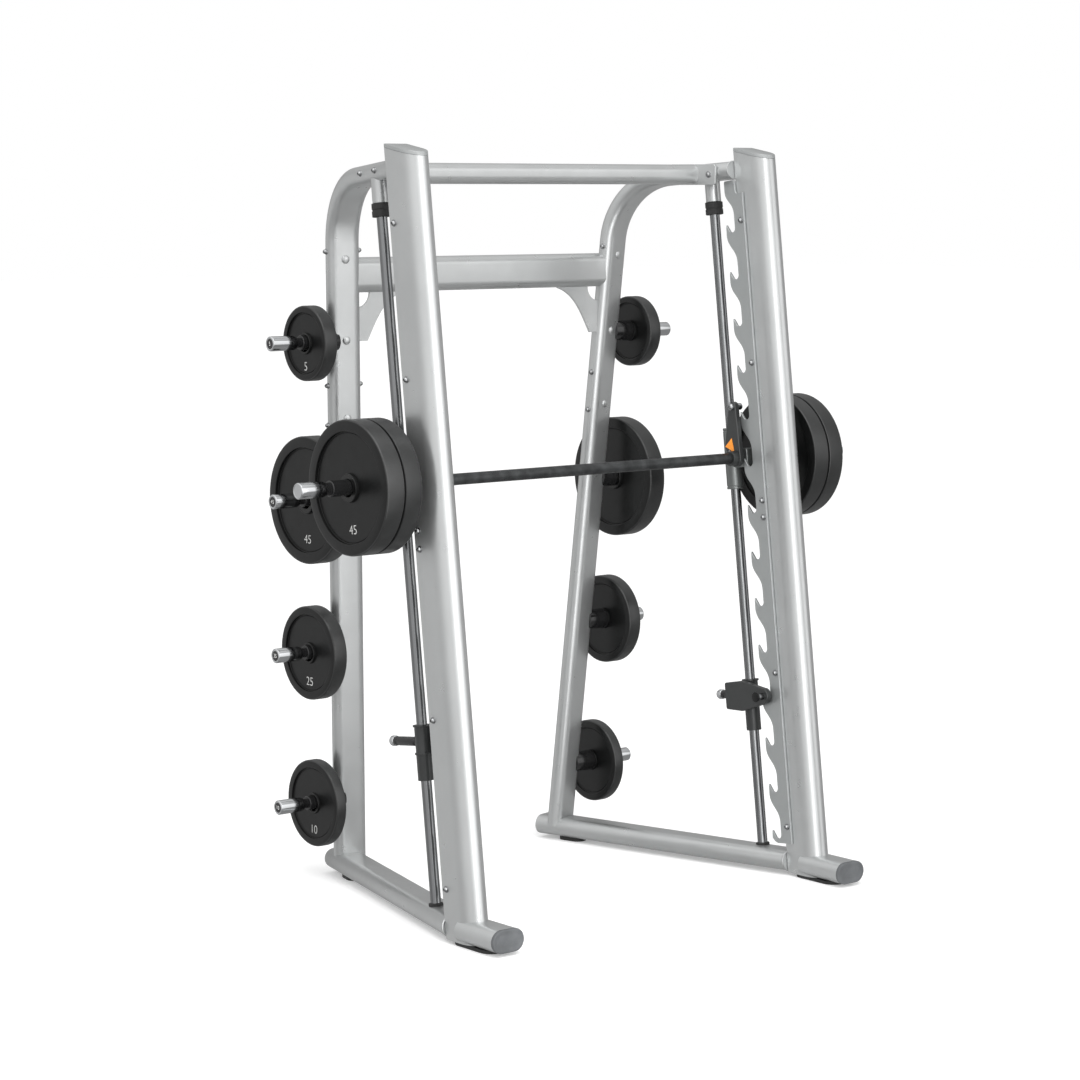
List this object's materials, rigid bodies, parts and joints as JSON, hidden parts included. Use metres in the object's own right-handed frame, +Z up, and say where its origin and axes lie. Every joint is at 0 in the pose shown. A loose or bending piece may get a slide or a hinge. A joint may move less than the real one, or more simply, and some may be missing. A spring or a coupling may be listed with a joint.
{
  "type": "smith machine",
  "caption": "Smith machine: a barbell on two leaning guide rods in a splayed silver frame, with catch hooks, safety stops, plate horns and weight plates.",
  "frame": {"origin": "floor level, at the middle of the footprint box", "axes": "+X to the machine's right seen from the front, +Y to its rear, +Z up"},
  "size_m": [2.164, 1.2642, 2.3205],
  "materials": {
    "frame_silver": "satin silver paint",
    "catch_steel": "satin",
    "grey_plastic": "matte",
    "rubber": "matte",
    "black_steel": "gloss black sleeve with a chrome end",
    "plate_rubber": "moulded rubber",
    "chrome": "polished",
    "dark_steel": "satin black",
    "housing_grey": "satin"
  },
  "bodies": {
    "frame": {"base_rail_right": "frame_silver", "base_rail_left": "frame_silver", "front_upright_right": "frame_silver", "front_upright_left": "frame_silver", "upright_cap_right": "frame_silver", "upright_cap_left": "frame_silver", "foot_cap_right": "grey_plastic", "foot_cap_left": "grey_plastic", "front_pad_right": "rubber", "front_pad_left": "rubber", "rear_pad_right": "rubber", "rear_pad_left": "rubber", "rear_upright_right": "frame_silver", "rear_upright_left": "frame_silver", "top_crossbar": "frame_silver", "rear_crossbar": "frame_silver", "horn_5_right": "black_steel", "horn_5_left": "black_steel", "horn_10_right": "black_steel", "horn_10_left": "black_steel", "horn_25_right": "black_steel", "horn_25_left": "black_steel", "horn_45_right": "black_steel", "horn_45_left": "black_steel", "guide_rod_right": "chrome", "guide_rod_left": "chrome", "rod_bush_right": "rubber", "rod_bush_left": "rubber", "top_bumper_right": "rubber", "top_bumper_left": "rubber", "rod_socket_right": "frame_silver", "rod_socket_left": "frame_silver", "catch_plate_right": "catch_steel", "catch_plate_left": "catch_steel"},
    "carriage": {"carriage_right": "housing_grey", "carriage_left": "housing_grey", "linear_bearing_right": "chrome", "linear_bearing_left": "chrome"},
    "bar": {"bar": "dark_steel", "hook_right": "dark_steel", "hook_left": "dark_steel"},
    "sleeve_right": {"sleeve_right": "chrome"},
    "bar_plate_inner_right": {"bar_plate_inner_right": "plate_rubber"},
    "bar_plate_outer_right": {"bar_plate_outer_right": "plate_rubber"},
    "safety_stop_right": {"safety_stop_right": "dark_steel"},
    "lock_pin_right": {"lock_pin_right": "chrome"},
    "stored_plate_5_right": {"stored_plate_5_right": "plate_rubber"},
    "stored_plate_10_right": {"stored_plate_10_right": "plate_rubber"},
    "stored_plate_25_right": {"stored_plate_25_right": "plate_rubber"},
    "stored_plate_45_right": {"stored_plate_45_right": "plate_rubber"},
    "sleeve_left": {"sleeve_left": "chrome"},
    "bar_plate_inner_left": {"bar_plate_inner_left": "plate_rubber"},
    "bar_plate_outer_left": {"bar_plate_outer_left": "plate_rubber"},
    "safety_stop_left": {"safety_stop_left": "dark_steel"},
    "lock_pin_left": {"lock_pin_left": "chrome"},
    "stored_plate_5_left": {"stored_plate_5_left": "plate_rubber"},
    "stored_plate_10_left": {"stored_plate_10_left": "plate_rubber"},
    "stored_plate_25_left": {"stored_plate_25_left": "plate_rubber"},
    "stored_plate_45_left": {"stored_plate_45_left": "plate_rubber"}
  },
  "joints": [
    {"name": "carriage_slide", "type": "slide", "parent": "frame", "child": "carriage", "axis": [0, 0.1219, 0.9925], "range_m": [-0.6167, 0.6883]},
    {"name": "bar_turn", "type": "hinge", "parent": "carriage", "child": "bar", "pos_m": [0, -0.15877, 1.32989], "axis": [-1, 0, 0], "range_deg": [-13.8, 8.4]},
    {"name": "sleeve_spin_right", "type": "hinge", "parent": "bar", "child": "sleeve_right", "pos_m": [0.9, -0.15877, 1.32989], "axis": [1, 0, 0], "continuous": true},
    {"name": "inner_plate_slide_right", "type": "slide", "parent": "sleeve_right", "child": "bar_plate_inner_right", "axis": [1, 0, 0], "range_m": [0, 0.305]},
    {"name": "outer_plate_slide_right", "type": "slide", "parent": "bar_plate_inner_right", "child": "bar_plate_outer_right", "axis": [1, 0, 0], "range_m": [0, 0.242]},
    {"name": "safety_stop_slide_right", "type": "slide", "parent": "frame", "child": "safety_stop_right", "axis": [0, 0.1219, 0.9925], "range_m": [-0.356, 0.612]},
    {"name": "lock_pin_slide_right", "type": "slide", "parent": "safety_stop_right", "child": "lock_pin_right", "axis": [1, 0, 0], "range_m": [0, 0.022]},
    {"name": "stored_plate_5_slide_right", "type": "slide", "parent": "frame", "child": "stored_plate_5_right", "axis": [1, 0, 0], "range_m": [0, 0.177]},
    {"name": "stored_plate_10_slide_right", "type": "slide", "parent": "frame", "child": "stored_plate_10_right", "axis": [1, 0, 0], "range_m": [0, 0.173]},
    {"name": "stored_plate_25_slide_right", "type": "slide", "parent": "frame", "child": "stored_plate_25_right", "axis": [1, 0, 0], "range_m": [0, 0.176]},
    {"name": "stored_plate_45_slide_right", "type": "slide", "parent": "frame", "child": "stored_plate_45_right", "axis": [1, 0, 0], "range_m": [0, 0.189]},
    {"name": "sleeve_spin_left", "type": "hinge", "parent": "bar", "child": "sleeve_left", "pos_m": [-0.9, -0.15877, 1.32989], "axis": [1, 0, 0], "continuous": true},
    {"name": "inner_plate_slide_left", "type": "slide", "parent": "sleeve_left", "child": "bar_plate_inner_left", "axis": [-1, 0, 0], "range_m": [0, 0.305]},
    {"name": "outer_plate_slide_left", "type": "slide", "parent": "bar_plate_inner_left", "child": "bar_plate_outer_left", "axis": [-1, 0, 0], "range_m": [0, 0.242]},
    {"name": "safety_stop_slide_left", "type": "slide", "parent": "frame", "child": "safety_stop_left", "axis": [0, 0.1219, 0.9925], "range_m": [-0.356, 0.612]},
    {"name": "lock_pin_slide_left", "type": "slide", "parent": "safety_stop_left", "child": "lock_pin_left", "axis": [-1, 0, 0], "range_m": [0, 0.022]},
    {"name": "stored_plate_5_slide_left", "type": "slide", "parent": "frame", "child": "stored_plate_5_left", "axis": [-1, 0, 0], "range_m": [0, 0.177]},
    {"name": "stored_plate_10_slide_left", "type": "slide", "parent": "frame", "child": "stored_plate_10_left", "axis": [-1, 0, 0], "range_m": [0, 0.173]},
    {"name": "stored_plate_25_slide_left", "type": "slide", "parent": "frame", "child": "stored_plate_25_left", "axis": [-1, 0, 0], "range_m": [0, 0.176]},
    {"name": "stored_plate_45_slide_left", "type": "slide", "parent": "frame", "child": "stored_plate_45_left", "axis": [-1, 0, 0], "range_m": [0, 0.189]}
  ]
}
